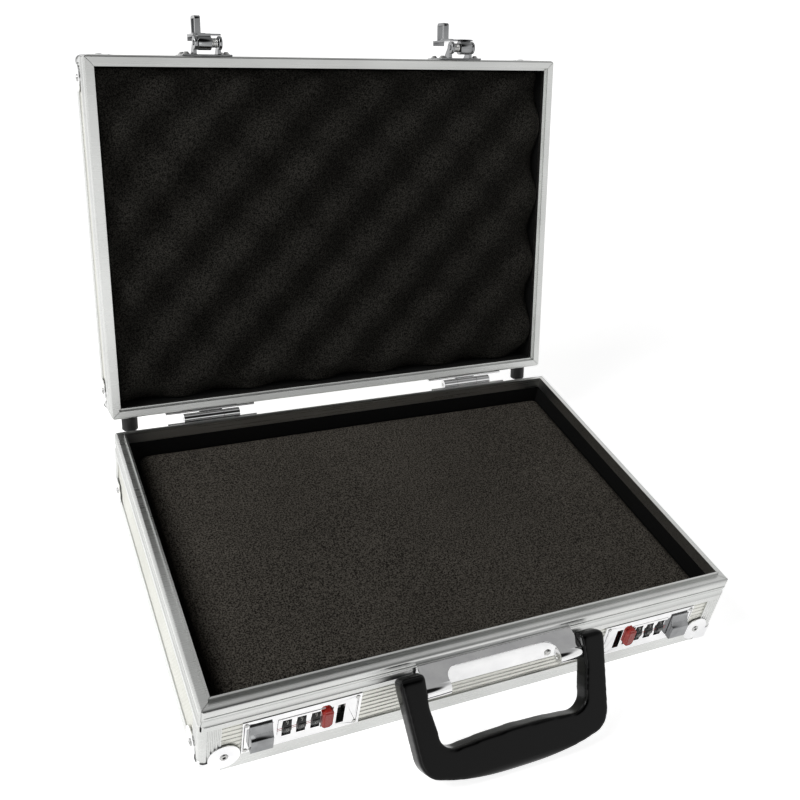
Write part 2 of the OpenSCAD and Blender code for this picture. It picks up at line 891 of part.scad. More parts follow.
module handle_bracket() {
    notch = bracket_x - barrel_l;
    back = -hd - 7;
    front = grip_y;
    rear = bracket_top + bracket_rise;
    color([0.85, 0.85, 0.87])
        difference() {
            union() {
                rotate([90, 0, 90])
                    linear_extrude(height = 2 * bracket_x, center = true)
                        polygon([
                            [-hd, rear], [front, bracket_top], [front, bracket_top - bracket_t],
                            [-hd, rear - bracket_t]
                        ]);
                translate([-bracket_x, -hd - bracket_t, bracket_top - 27])
                    cube([2 * bracket_x, bracket_t, rear - bracket_top + 27]);
                both_x()
                    translate([-bracket_x, grip_y, grip_z])
                        rotate([0, 90, 0]) cylinder(r = barrel_r, h = barrel_l);
            }
            translate([0, 0, bracket_top - bracket_t - 1])
                linear_extrude(height = bracket_t + bracket_rise + 2) {
                    translate([-notch + 9, back - 40]) square([2 * notch - 18, 40]);
                    translate([-notch, back - 49]) square([2 * notch, 40]);
                    both_x() translate([-notch + 9, back - 9]) circle(r = 9);
                }
            both_x()
                translate([-bracket_x - 1, grip_y, grip_z])
                    rotate([0, 90, 0]) cylinder(r = grip_pin_r + grip_run, h = barrel_l + 2);
            bracket_spots()
                rotate([90, 0, 0]) cylinder(r = 1.65, h = 12, center = true);
        }
}

module bracket_rivets() {
    color([0.7, 0.7, 0.72])
        bracket_spots()
            rotate([90, 0, 0]) solid_rivet(3.2, 1.6, 1.2, bracket_t + wall_back - 0.1);
}

// Points of an arc in the plane of the handle
function arc(cx, cy, r, a0, a1, n) =
    [for (i = [0 : n]) let (a = a0 + (a1 - a0) * i / n) [cx + r * cos(a), cy + r * sin(a)]];
function flip(p) = [for (i = [len(p) - 1 : -1 : 0]) [-p[i][0], p[i][1]]];
arm_x = bracket_x + arm_gap;
grip_half = concat(
    [[arm_x, grip_end], [arm_x + 15, grip_end]],
    arc(arm_x + 15, grip_end - 5, 5, 80, 0, 5),
    arc(arm_x - 6, 28 - grip_reach, 20, -4, -62, 9),
    [for (i = [1 : 8]) let (k = 1 - i / 8) [(arm_x + 3) * k, 10 * k * k - grip_reach]]
);
grip_hole = concat(
    [[0, 31 - grip_reach], [25, 30.2 - grip_reach]],
    arc(arm_x - 16.4, 40.5 - grip_reach, 12.4, -84, 8, 8),
    [[arm_x, -9], [arm_x, grip_end]]
);
function inner(p) = [for (i = [1 : len(p) - 2]) p[i]];
grip_outline = concat(
    grip_half, inner(flip(grip_half)), [[-arm_x, grip_end]],
    inner(flip(grip_hole)), [[0, 31 - grip_reach]], inner(grip_hole)
);

// Handle drawn hanging straight down from an axle at the origin
module grip_shape() {
    difference() {
        intersection() {
            rotate([90, 0, 0])
                linear_extrude(height = grip_t, center = true)
                    polygon(grip_outline);
            rotate([90, 0, 90])
                linear_extrude(height = 4 * bracket_x, center = true) {
                    translate([0, grip_t / 2 - grip_reach]) circle(r = grip_t / 2);
                    both_x() translate([grip_t / 2 - 4, grip_end - 4]) circle(r = 4);
                    translate([4 - grip_t / 2, grip_end - 6]) square([grip_t - 8, 6]);
                    translate([-grip_t / 2, grip_t / 2 - grip_reach])
                        square([grip_t, grip_reach - grip_t / 2 + grip_end - 4]);
                }
        }
        both_x()
            translate([arm_x - 1, 0, 0])
                rotate([0, 90, 0]) cylinder(r = grip_pin_r + 0.02, h = 14);
    }
}

module at_grip() {
    translate([0, grip_y, grip_z])
        rotate([grip_drop - 90, 0, 0])
            children();
}

module handle() {
    color([0.05, 0.05, 0.05]) at_grip() grip_shape();
}

module handle_pins() {
    color([0.6, 0.6, 0.62])
        at_grip()
            both_x()
                translate([bracket_x - barrel_l + 0.4, 0, 0])
                    rotate([0, 90, 0]) cylinder(r = grip_pin_r, h = barrel_l + arm_gap + 12);
}

// Hinges

module hinge_spots(side) {
    both_x()
        for (dx = [-34, 34])
            for (dz = [9, leaf_h - 5])
                translate([hinge_at + dx, hd + leaf_t, base_h + side * (dz + 0.8)])
                    children();
}

module leaf(side) {
    lo = side > 0 ? base_h + 0.6 : base_h - 0.6 - leaf_h;
    difference() {
        translate([hinge_at - leaf_w / 2, hd, lo]) cube([leaf_w, leaf_t, leaf_h]);
        for (dx = [-34, 34])
            for (dz = [9, leaf_h - 5])
                translate([hinge_at + dx, hd, base_h + side * (dz + 0.8)])
                    rotate([90, 0, 0]) cylinder(r = 1.65, h = 10, center = true);
    }
}

// Knuckle of one length with the strap that joins it to its leaf
module knuckle(x0, length, side) {
    difference() {
        union() {
            translate([x0, axis_y, axis_z]) rotate([0, 90, 0]) cylinder(r = knuckle_r, h = length);
            translate([x0, hd, side > 0 ? axis_z + 2.4 : axis_z - knuckle_r])
                cube([length, hinge_out, 2.4]);
        }
        translate([x0 - 1, axis_y, axis_z])
            rotate([0, 90, 0]) cylinder(r = hinge_pin_r + hinge_run, h = length + 2);
    }
}

module hinge_base_leaves() {
    color([0.82, 0.82, 0.84])
        both_x() {
            leaf(-1);
            knuckle(hinge_at - knuckle_mid / 2 - knuckle_gap - knuckle_end, knuckle_end, -1);
            knuckle(hinge_at + knuckle_mid / 2 + knuckle_gap, knuckle_end, -1);
        }
}

module hinge_lid_leaves() {
    color([0.82, 0.82, 0.84])
        on_lid()
            both_x() {
                leaf(1);
                knuckle(hinge_at - knuckle_mid / 2, knuckle_mid, 1);
            }
}

module hinge_pins() {
    l = knuckle_mid + 2 * knuckle_gap + 2 * knuckle_end;
    color([0.7, 0.7, 0.72])
        both_x()
            translate([hinge_at - l / 2, axis_y, axis_z])
                rotate([0, 90, 0]) cylinder(r = hinge_pin_r, h = l);
}

module hinge_base_rivets() {
    color([0.75, 0.75, 0.77])
        hinge_spots(-1) rotate([-90, 0, 0]) solid_rivet(2.8, 1.6, 0.9, leaf_t);
}

module hinge_lid_rivets() {
    color([0.75, 0.75, 0.77])
        on_lid() hinge_spots(1) rotate([-90, 0, 0]) solid_rivet(2.8, 1.6, 0.9, leaf_t);
}

// Lid: drawn upside down on the base's plan, then turned over

module turned_over() {
    translate([0, 0, close_h]) mirror([0, 0, 1]) children();
}

module lid_rim() {
    color([0.8, 0.8, 0.8]) on_lid() mitred_frame() lid_rim_section();
}

module lid_edge_frame() {
    color([0.8, 0.8, 0.8]) on_lid() turned_over() edge_frame();
}

module lid_corner_posts() {
    color([0.75, 0.75, 0.75])
        on_lid() four_corners() corner_post(base_h + rim_h, close_h - edge_h);
}

module lid_front_panel() {
    color([0.7, 0.7, 0.7])
        on_lid()
            long_wall(base_h + rim_wall_end, close_h - edge_seat, base_h + rim_h, close_h - edge_h);
}

module lid_rear_panel() {
    color([0.7, 0.7, 0.7])
        on_lid()
            mirror([0, 1, 0])
                long_wall(base_h + rim_wall_end, close_h - edge_seat, base_h + rim_h, close_h - edge_h);
}

module lid_end_panels() {
    color([0.7, 0.7, 0.7])
        on_lid()
            both_x()
                end_wall(base_h + rim_wall_end, close_h - edge_seat, base_h + rim_h, close_h - edge_h);
}

module lid_top_panel() {
    color([0.7, 0.7, 0.7]) on_lid() turned_over() flat_panel();
}

module lid_corner_caps() {
    color([0.85, 0.85, 0.87]) on_lid() turned_over() four_corners() corner_cap();
}

module lid_cap_rivets() {
    color([0.6, 0.6, 0.62])
        on_lid()
            turned_over()
                four_corners() {
                    cap_rivet_set();
                    cap_rivet_flush();
                }
}

module lid_lining_boards() {
    color([0.05, 0.05, 0.05]) on_lid() turned_over() lining(0, lid_h - bead_h);
}

module lid_feet() {
    color([0.08, 0.08, 0.08]) on_lid() both_x() foot(lid_foot_z, hd);
}

// Egg-crate foam: a grid of heights over a flat back
foam_nx = 38;
foam_ny = 26;
foam_hx = hw - board_in - 1;
foam_hy = hd - board_in - 1;
foam_back = close_h - cap_t - 1 - plate_t - floor_t;
function edge_fade(t) = t > 1 ? 1 : t < 0 ? 0 : t * t * (3 - 2 * t);
function foam_z(x, y) =
    base_h + peak_in + valley / 2
    - valley / 2 * cos(180 * (x + 190.5) / peak_x) * cos(180 * (y + 24.7) / peak_y)
    + 10 * (1 - edge_fade((foam_hy - y) / 16)) + 3 * (1 - edge_fade((foam_hx - abs(x)) / 9))
    + 3 * (1 - edge_fade((foam_hy + y) / 9));
function foam_px(i) = -foam_hx + 2 * foam_hx * i / foam_nx;
function foam_py(j) = -foam_hy + 2 * foam_hy * j / foam_ny;
foam_row = foam_nx + 1;
foam_top = [
    for (j = [0 : foam_ny]) for (i = [0 : foam_nx])
        [foam_px(i), foam_py(j), foam_z(foam_px(i), foam_py(j))]
];
foam_rim = concat(
    [for (i = [0 : foam_nx]) i],
    [for (j = [1 : foam_ny]) foam_nx + j * foam_row],
    [for (i = [foam_nx - 1 : -1 : 0]) i + foam_ny * foam_row],
    [for (j = [foam_ny - 1 : -1 : 1]) j * foam_row]
);
foam_n = foam_row * (foam_ny + 1);
foam_low = concat([for (k = foam_rim) [foam_top[k][0], foam_top[k][1], foam_back]], [[0, 0, foam_back]]);
foam_rn = len(foam_rim);
foam_faces = concat(
    [for (j = [0 : foam_ny - 1]) for (i = [0 : foam_nx - 1])
        [i + j * foam_row, i + 1 + j * foam_row, i + 1 + (j + 1) * foam_row]],
    [for (j = [0 : foam_ny - 1]) for (i = [0 : foam_nx - 1])
        [i + j * foam_row, i + 1 + (j + 1) * foam_row, i + (j + 1) * foam_row]],
    [for (k = [0 : foam_rn - 1])
        [foam_rim[k], foam_n + k, foam_n + (k + 1) % foam_rn]],
    [for (k = [0 : foam_rn - 1])
        [foam_rim[k], foam_n + (k + 1) % foam_rn, foam_rim[(k + 1) % foam_rn]]],
    [for (k = [0 : foam_rn - 1]) [foam_n + (k + 1) % foam_rn, foam_n + k, foam_n + foam_rn]]
);

module lid_foam() {
    color([0.04, 0.04, 0.04])
        on_lid()
            polyhedron(points = concat(foam_top, foam_low), faces = foam_faces);
}

// Hasps, drawn on the left of the closed lid

module hasp_rivet_spots() {
    for (dx = [-1, 1])
        for (z = [base_h + 7, base_h + 24])
            translate([-hasp_at + dx * (hasp_base_w / 2 - 4.2), -hd - 1.3, z])
                children();
}

module hasp_base() {
    difference() {
        union() {
            translate([-hasp_at - hasp_base_w / 2, -hd - 1.3, base_h + 1])
                cube([hasp_base_w, 1.3, 29]);
            for (x = [-flap_w / 2, flap_w / 2 - 3])
                translate([-hasp_at + x, 0, 0])
                    rotate([90, 0, 90])
                        linear_extrude(height = 3) {
                            translate([hasp_y, hasp_z]) circle(r = ear_r);
                            polygon([
                                [hasp_y, hasp_z + ear_r], [hasp_y + 2, hasp_z + 0.6],
                                [-hd - 0.5, hasp_z + 0.6], [-hd - 0.5, hasp_z + 14],
                                [-hd - 2.5, hasp_z + 12]
                            ]);
                        }
        }
        hasp_rivet_spots()
            rotate([90, 0, 0]) cylinder(r = 1.85, h = 10, center = true);
        translate([-hasp_at - 30, hasp_y, hasp_z])
            rotate([0, 90, 0]) cylinder(r = hasp_pin_r + 0.02, h = 60);
    }
}

module hasp_pin() {
    translate([-hasp_at - flap_w / 2 - 0.6, hasp_y, hasp_z])
        rotate([0, 90, 0]) cylinder(r = hasp_pin_r, h = flap_w + 1.2);
}

// Close-wound spring around the pin, beside the flap's knuckle
module hasp_spring() {
    translate([-hasp_at + 3, hasp_y, hasp_z])
        rotate([0, 90, 0])
            rotate_extrude()
                difference() {
                    union() {
                        translate([hasp_pin_r + 0.4, 0]) square([0.8, 5.6]);
                        for (i = [0 : 3])
                            translate([hasp_pin_r + 1.2, 0.7 + i * 1.4]) circle(r = 0.75, $fn = 20);
                    }
                    translate([0, -5]) square([hasp_pin_r + 0.3, 20]);
                }
}

// Flap turned back over the lid front, with its knuckle, staple and thumb lip
module hasp_flap() {
    face = hasp_y - flap_off - flap_t;
    lo = hasp_z + staple_at - staple_h / 2;
    difference() {
        union() {
            translate([-hasp_at - flap_w / 2 + 3.4, hasp_y, hasp_z])
                rotate([0, 90, 0]) cylinder(r = flap_off, h = flap_w / 2 - 0.8);
            translate([-hasp_at - flap_w / 2 + 3.4, face, hasp_z - 2.5])
                cube([flap_w / 2 - 0.8, flap_off - 2, 5]);
            translate([-hasp_at - flap_w / 2, face, hasp_z])
                cube([flap_w, flap_t, flap_root]);
            translate([-hasp_at - flap_tongue_w / 2, face, hasp_z + flap_root - 1])
                cube([flap_tongue_w, flap_t, flap_end - flap_root + 1]);
            translate([-hasp_at - flap_tongue_w / 2, face, hasp_z + flap_end - 1.6])
                cube([flap_tongue_w, flap_t + 3.2, 1.6]);
            translate([-hasp_at - flap_tongue_w / 2, face - 1.6, lo - 3.5])
                cube([flap_tongue_w, 1.8, 3.4]);
            translate([-hasp_at - staple_w / 2, 0, 0])
                rotate([90, 0, 90])
                    linear_extrude(height = staple_w)
                        difference() {
                            union() {
                                translate([hasp_y - staple_tip + 3, lo])
                                    square([staple_tip - flap_off - 4, staple_h]);
                                translate([hasp_y - staple_tip, lo + 3])
                                    square([10, staple_h - 6]);
                                translate([hasp_y - staple_tip + 3, lo + 3]) circle(r = 3);
                                translate([hasp_y - staple_tip + 3, lo + staple_h - 3]) circle(r = 3);
                            }
                            translate([hasp_y - staple_tip + staple_t, lo + staple_t])
                                square([face - hasp_y + staple_tip - staple_t, staple_h - 2 * staple_t]);
                        }
        }
        translate([-hasp_at - flap_w / 2, hasp_y, hasp_z])
            rotate([0, 90, 0]) cylinder(r = hasp_pin_r + hasp_run, h = flap_w);
    }
}

module hasp_bases() {
    color([0.82, 0.82, 0.84]) on_lid() both_x() hasp_base();
}

module hasp_base_rivets() {
    color([0.75, 0.75, 0.77])
        on_lid() both_x() hasp_rivet_spots() rotate([90, 0, 0]) solid_rivet(3.4, 1.8, 2.2, 1.3);
}

module hasp_pins() {
    color([0.6, 0.6, 0.62]) on_lid() both_x() hasp_pin();
}

module hasp_springs() {
    color([0.55, 0.55, 0.58]) on_lid() both_x() hasp_spring();
}

module left_hasp() {
    color([0.85, 0.85, 0.87]) on_lid() hasp_flap();
}

module right_hasp() {
    color([0.85, 0.85, 0.87]) on_lid() mirror([1, 0, 0]) hasp_flap();
}

base_rim();
base_edge_frame();
base_corner_posts();
base_front_panel();
base_rear_panel();
base_end_panels();
base_bottom_panel();
base_corner_caps();
base_cap_rivets();
base_lining_boards();
base_foam_pad();
base_feet();
lock_plate_left();
lock_plate_right();
lock_housing_left();
lock_housing_right();
lock_rivets();
dial_axles();
handle_bracket();
bracket_rivets();
hinge_base_leaves();
hinge_pins();
hinge_base_rivets();
left_thumb_slide();
left_slide_bar();
left_bolt();
right_thumb_slide();
right_slide_bar();
right_bolt();
left_code_button();
right_code_button();
left_dial_1();
left_dial_2();
left_dial_3();
right_dial_1();
right_dial_2();
right_dial_3();
handle();
handle_pins();
lid_rim();
lid_edge_frame();
lid_corner_posts();
lid_front_panel();
lid_rear_panel();
lid_end_panels();
lid_top_panel();
lid_corner_caps();
lid_cap_rivets();
lid_lining_boards();
lid_foam();
lid_feet();
hinge_lid_leaves();
hinge_lid_rivets();
hasp_bases();
hasp_base_rivets();
hasp_pins();
hasp_springs();
left_hasp();
right_hasp();
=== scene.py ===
"""Looks of the laptop hard case: satin aluminium frames, chrome fittings, black foam, number locks."""

import json
import math

import bpy
from mathutils import Matrix, Vector, noise


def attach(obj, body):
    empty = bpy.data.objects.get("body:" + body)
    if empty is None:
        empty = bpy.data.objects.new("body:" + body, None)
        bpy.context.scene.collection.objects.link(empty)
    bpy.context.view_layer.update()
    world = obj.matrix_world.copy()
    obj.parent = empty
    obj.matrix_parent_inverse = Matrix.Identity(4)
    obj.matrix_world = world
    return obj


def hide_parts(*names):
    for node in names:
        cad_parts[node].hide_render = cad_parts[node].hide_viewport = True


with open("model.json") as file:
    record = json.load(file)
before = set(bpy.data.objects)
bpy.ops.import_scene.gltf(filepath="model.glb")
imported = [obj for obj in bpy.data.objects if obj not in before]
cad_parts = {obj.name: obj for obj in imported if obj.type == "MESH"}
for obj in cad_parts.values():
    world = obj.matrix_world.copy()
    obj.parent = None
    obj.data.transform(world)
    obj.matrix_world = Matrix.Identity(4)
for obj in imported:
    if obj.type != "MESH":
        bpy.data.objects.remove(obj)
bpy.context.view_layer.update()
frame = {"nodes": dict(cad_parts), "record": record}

# Lengths are in millimetres, and this turns them to Blender's metres
MM = 0.001

# Sizes that the looks share with the part
CASE_W = 450
CASE_D = 313
BASE_H = 72
LID_H = 54
LID_OPEN = math.radians(108.1)
AXIS_Y = CASE_D / 2 + 6.6
AXIS_Z = BASE_H - 0.8

# Lock plate with its raised window frame, and the number wheels behind it
PLATE_FACE = -CASE_D / 2 - 0.6
WINDOW_RISE = 0.5
DIAL_R = 9.6
DIAL_X = -151.6
DIAL_Y = PLATE_FACE + 7
DIAL_Z = 34.5
DIAL_PITCH = 10.8

# Digits printed on a wheel
DIGIT_COUNT = 10
DIGIT_H = 4.3
DIGIT_OUT = 0.1
DIGIT_INK = 0.06

# Red lines printed beside the windows: where they start and stop, from a window's middle, and their
# heights over and under the wheels' middle
LINE_START = 7
LINE_CLEAR = 3.6
LINE_PAST = 0.2
LINE_UP = 0.5
LINE_DOWN = 1.3
LINE_H = 0.55
LINE_INK = 0.12
LINE_EDGE = 0.05

# Egg-crate foam of the lid: how far its peaks lie inside the rim, the depth, spacing and start of its
# waves, how its edges fall back, its distance from the case's sides and top, and its mesh width
PEAK_IN = 3.6
VALLEY = 13
PEAK_X = 33.7
PEAK_Y = 34.7
START_X = 190.5
START_Y = 24.7
REAR_FALL = 10
REAR_RUN = 16
EDGE_FALL = 3
EDGE_RUN = 9
FOAM_EDGE = 10.2
FOAM_BACK = 8
FOAM_STEP = 3.0

# Unevenness of the foam faces: its height, and waves per millimetre on the lid, per metre on the pad
UNEVEN_H = 0.5
LID_UNEVEN = 0.06
PAD_UNEVEN = 9

# Pad of the base: above this height, in metres, a point belongs to the top
PAD_TOP = 0.03
PAD_VOXEL = 3.2
PAD_ROUNDS = 4

# Handle, whose fine voxels keep its form while the rounds of smoothing take its edges off
HANDLE_VOXEL = 0.8
HANDLE_ROUNDS = 50

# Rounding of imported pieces
EDGE_ANGLE = math.radians(40)
SEAM = 0.002
COPY_SEAM = 0.01

# Studio, in metres and in parts of white
FLOOR_SIZE = 8
FLOOR_DOWN = 0.0002
PAPER = 0.85
SWEEP_START = 0.6
SWEEP_END = 1.8
ROOM_LIGHT = 0.1

# Dark part of the room in mirrors, up and behind the camera, as cosines to the middle of it
DARK_UP = 0.8
DARK_BACK = 0.6
DARK_START = 0.79
DARK_FULL = 0.94
DARK_LEVEL = 0.02

# Dimmer ceiling in mirrors, by how steeply a ray goes up
CEILING_START = 0.56
CEILING_FULL = 0.86
CEILING_LEVEL = 0.4


def srgb(code):
    """A hex colour as linear red, green, blue and alpha."""
    parts = [int(code[i : i + 2], 16) / 255 for i in (1, 3, 5)]
    lin = [c / 12.92 if c <= 0.04045 else ((c + 0.055) / 1.055) ** 2.4 for c in parts]
    return (*lin, 1.0)


def add(tree, kind, settings=None, inputs=None, links=None):
    """Adds a node: settings are its own, inputs are socket values, links are what feeds its sockets."""
    node = tree.nodes.new(kind)
    for name, value in (settings or {}).items():
        setattr(node, name, value)
    for name, value in (inputs or {}).items():
        node.inputs[name].default_value = value
    for name, socket in (links or {}).items():
        tree.links.new(socket, node.inputs[name])
    return node


def blank(name):
    """A new material with its shader and output, and the shader to fill in."""
    mat = bpy.data.materials.new(name)
    mat.use_nodes = True
    tree = mat.node_tree
    tree.nodes.clear()
    shader = add(tree, "ShaderNodeBsdfPrincipled")
    add(tree, "ShaderNodeOutputMaterial", links={"Surface": shader.outputs[0]})
    return mat, tree, shader


def ramp(tree, fac, stops):
    """A colour ramp with (place, hex) stops."""
    node = add(tree, "ShaderNodeValToRGB", links={"Fac": fac})
    band = node.color_ramp
    while len(band.elements) < len(stops):
        band.elements.new(0.5)
    for element, (place, code) in zip(band.elements, stops):
        element.position = place
        element.color = srgb(code)
    return node


def satin_aluminium(name, dark, light, rough):
    """Anodised aluminium extrusion: pale satin metal with fine drawing lines along the length."""
    mat, tree, shader = blank(name)
    coord = add(tree, "ShaderNodeTexCoord")
    # drawing lines about 0.6 mm apart across, and some 60 mm long
    lines = add(
        tree,
        "ShaderNodeMapping",
        inputs={"Scale": (16, 1600, 1600)},
        links={"Vector": coord.outputs["Object"]},
    )
    grain = add(
        tree,
        "ShaderNodeTexNoise",
        inputs={"Scale": 1.0, "Detail": 3.0},
        links={"Vector": lines.outputs[0]},
    )
    # faint clouds of the anodising, some 70 mm across
    cloud = add(
        tree,
        "ShaderNodeTexNoise",
        inputs={"Scale": 14.0, "Detail": 3.0},
        links={"Vector": coord.outputs["Object"]},
    )
    tint = ramp(tree, cloud.outputs["Fac"], [(0.3, dark), (0.7, light)])
    gloss = add(
        tree,
        "ShaderNodeMapRange",
        inputs={"From Min": 0.3, "From Max": 0.7, "To Min": rough - 0.05, "To Max": rough + 0.06},
        links={"Value": grain.outputs["Fac"]},
    )
    bump = add(
        tree,
        "ShaderNodeBump",
        inputs={"Strength": 0.12, "Distance": 0.05 * MM},
        links={"Height": grain.outputs["Fac"]},
    )
    shader.inputs["Metallic"].default_value = 1.0
    tree.links.new(tint.outputs["Color"], shader.inputs["Base Color"])
    tree.links.new(gloss.outputs["Result"], shader.inputs["Roughness"])
    tree.links.new(bump.outputs["Normal"], shader.inputs["Normal"])
    return mat


def plated_metal(name, dark, light, rough):
    """Plating on pressed steel: bright and smooth, with faint wiping marks."""
    mat, tree, shader = blank(name)
    coord = add(tree, "ShaderNodeTexCoord")
    # wiping marks some 11 mm across
    smear = add(
        tree,
        "ShaderNodeTexNoise",
        inputs={"Scale": 90.0, "Detail": 4.0},
        links={"Vector": coord.outputs["Object"]},
    )
    tint = ramp(tree, smear.outputs["Fac"], [(0.35, dark), (0.65, light)])
    gloss = add(
        tree,
        "ShaderNodeMapRange",
        inputs={"From Min": 0.35, "From Max": 0.7, "To Min": rough, "To Max": rough + 0.03},
        links={"Value": smear.outputs["Fac"]},
    )
    shader.inputs["Metallic"].default_value = 1.0
    tree.links.new(tint.outputs["Color"], shader.inputs["Base Color"])
    tree.links.new(gloss.outputs["Result"], shader.inputs["Roughness"])
    return mat


def open_cell_foam(name, dark, mid, light, cell):
    """Open-cell polyurethane foam: dull, with dark pores and pale cell walls; cell is a pore's width."""
    mat, tree, shader = blank(name)
    coord = add(tree, "ShaderNodeTexCoord")
    pores = add(
        tree,
        "ShaderNodeTexVoronoi",
        inputs={"Scale": 1 / (cell * MM), "Randomness": 1.0},
        links={"Vector": coord.outputs["Object"]},
    )
    dust = add(
        tree,
        "ShaderNodeTexNoise",
        inputs={"Scale": 0.7 / (cell * MM), "Detail": 6.0, "Roughness": 0.75},
        links={"Vector": coord.outputs["Object"]},
    )
    # broad patches where the foam is a little darker, some 90 mm across
    patch = add(
        tree,
        "ShaderNodeTexNoise",
        inputs={"Scale": 11.0, "Detail": 2.0},
        links={"Vector": coord.outputs["Object"]},
    )
    speck = add(
        tree,
        "ShaderNodeMath",
        {"operation": "MULTIPLY_ADD"},
        links={0: pores.outputs["Distance"], 1: dust.outputs["Fac"], 2: dust.outputs["Fac"]},
    )
    tint = ramp(tree, speck.outputs[0], [(0.42, dark), (0.62, mid), (0.9, light)])
    shade = ramp(tree, patch.outputs["Fac"], [(0.3, "#e4e4e4"), (0.7, "#ffffff")])
    colour = add(
        tree,
        "ShaderNodeMix",
        {"data_type": "RGBA", "blend_type": "MULTIPLY"},
        inputs={0: 1.0},
        links={6: tint.outputs["Color"], 7: shade.outputs["Color"]},
    )
    bump = add(
        tree,
        "ShaderNodeBump",
        inputs={"Strength": 0.6, "Distance": 0.5 * MM},
        links={"Height": speck.outputs[0]},
    )
    shader.inputs["Roughness"].default_value = 0.95
    shader.inputs["Specular IOR Level"].default_value = 0.05
    tree.links.new(colour.outputs[2], shader.inputs["Base Color"])
    tree.links.new(bump.outputs["Normal"], shader.inputs["Normal"])
    return mat


def lining_cloth(name, dark, light, thread):
    """Woven polyester lining glued to board: dull black with a fine plain weave and a little sheen."""
    mat, tree, shader = blank(name)
    coord = add(tree, "ShaderNodeTexCoord")
    # the bands repeat every 0.314 / scale, so each one is a thread wide
    waves = []
    for axis in "XYZ":
        waves.append(
            add(
                tree,
                "ShaderNodeTexWave",
                {"bands_direction": axis},
                inputs={"Scale": 0.314 / (thread * MM), "Distortion": 0.4},
                links={"Vector": coord.outputs["Object"]},
            )
        )
    one = add(
        tree,
        "ShaderNodeMath",
        {"operation": "MULTIPLY"},
        links={0: waves[0].outputs["Fac"], 1: waves[2].outputs["Fac"]},
    )
    weave = add(
        tree,
        "ShaderNodeMath",
        {"operation": "ADD"},
        links={0: one.outputs[0], 1: waves[1].outputs["Fac"]},
    )
    tint = ramp(tree, weave.outputs[0], [(0.2, dark), (1.0, light)])
    bump = add(
        tree,
        "ShaderNodeBump",
        inputs={"Strength": 0.4, "Distance": 0.15 * MM},
        links={"Height": weave.outputs[0]},
    )
    shader.inputs["Roughness"].default_value = 0.8
    shader.inputs["Specular IOR Level"].default_value = 0.1
    shader.inputs["Sheen Weight"].default_value = 0.02
    tree.links.new(tint.outputs["Color"], shader.inputs["Base Color"])
    tree.links.new(bump.outputs["Normal"], shader.inputs["Normal"])
    return mat


def moulded_plastic(name, dark, light, rough, grain, shine=0.5):
    """Moulded plastic, rubber or printed ink: even colour, and a gloss broken by a fine grain."""
    mat, tree, shader = blank(name)
    coord = add(tree, "ShaderNodeTexCoord")
    skin = add(
        tree,
        "ShaderNodeTexNoise",
        inputs={"Scale": 1 / (grain * MM), "Detail": 2.0},
        links={"Vector": coord.outputs["Object"]},
    )
    tint = ramp(tree, skin.outputs["Fac"], [(0.3, dark), (0.7, light)])
    gloss = add(
        tree,
        "ShaderNodeMapRange",
        inputs={"From Min": 0.3, "From Max": 0.7, "To Min": rough - 0.04, "To Max": rough + 0.05},
        links={"Value": skin.outputs["Fac"]},
    )
    bump = add(
        tree,
        "ShaderNodeBump",
        inputs={"Strength": 0.15, "Distance": 0.05 * MM},
        links={"Height": skin.outputs["Fac"]},
    )
    shader.inputs["Specular IOR Level"].default_value = shine
    tree.links.new(tint.outputs["Color"], shader.inputs["Base Color"])
    tree.links.new(gloss.outputs["Result"], shader.inputs["Roughness"])
    tree.links.new(bump.outputs["Normal"], shader.inputs["Normal"])
    return mat


def finishes():
    """All finishes: most go by the record's slot name, the others are for pieces that differ from it."""
    return {
        "satin_aluminium": satin_aluminium("anodised aluminium extrusion", "#c5c6c4", "#d3d4d2", 0.3),
        "ribbed_aluminium": satin_aluminium("anodised ribbed aluminium sheet", "#d4d4cd", "#e0e0da", 0.5),
        "chrome_plate": plated_metal("chrome-plated steel", "#dededf", "#e8e8e8", 0.07),
        "rivet_steel": plated_metal("zinc-plated steel", "#a9a9a8", "#bfbfbd", 0.25),
        # hasps and thumb slides: chrome greyed down, a painted dark reflection
        "painted_reflection_chrome": plated_metal("chrome-plated steel greyed for painted dark reflections", "#7b7c7d", "#8f9091", 0.12),
        "lining_fabric": lining_cloth("polyester lining cloth", "#060606", "#0e0e0d", 0.5),
        "pad_foam": open_cell_foam("black polyurethane foam", "#171513", "#262320", "#716c64", 1.1),
        "lid_foam": open_cell_foam("dense black polyurethane foam", "#080807", "#11110f", "#44423e", 1.0),
        "black_rubber": moulded_plastic("black rubber", "#101010", "#191919", 0.6, 0.6),
        "handle_plastic": moulded_plastic("black moulded ABS", "#030303", "#060606", 0.16, 0.5, 0.16),
        "red_plastic": moulded_plastic("red moulded ABS", "#c5281d", "#d23428", 0.25, 0.5),
        "dial_plastic": moulded_plastic("black acetal", "#0a0a0a", "#121212", 0.22, 0.4),
        "number_paint": moulded_plastic("white pad-printing ink", "#c4c4c0", "#d0d0cc", 0.4, 0.3),
        "index_paint": moulded_plastic("red pad-printing ink", "#c01810", "#d2241a", 0.4, 0.3),
    }


def deselect():
    """Nothing stays selected."""
    bpy.ops.object.select_all(action="DESELECT")


def select(pieces):
    """Selects these pieces alone, with the first one active."""
    deselect()
    for piece in pieces:
        piece.select_set(True)
    bpy.context.view_layer.objects.active = pieces[0]


def paint(obj, mat):
    """Gives a piece one finish."""
    obj.data.materials.clear()
    obj.data.materials.append(mat)


def join(pieces, name, mat):
    """Joins meshes into one named piece with one finish."""
    select(pieces)
    bpy.ops.object.join()
    obj = bpy.context.object
    obj.name = name
    paint(obj, mat)
    return obj


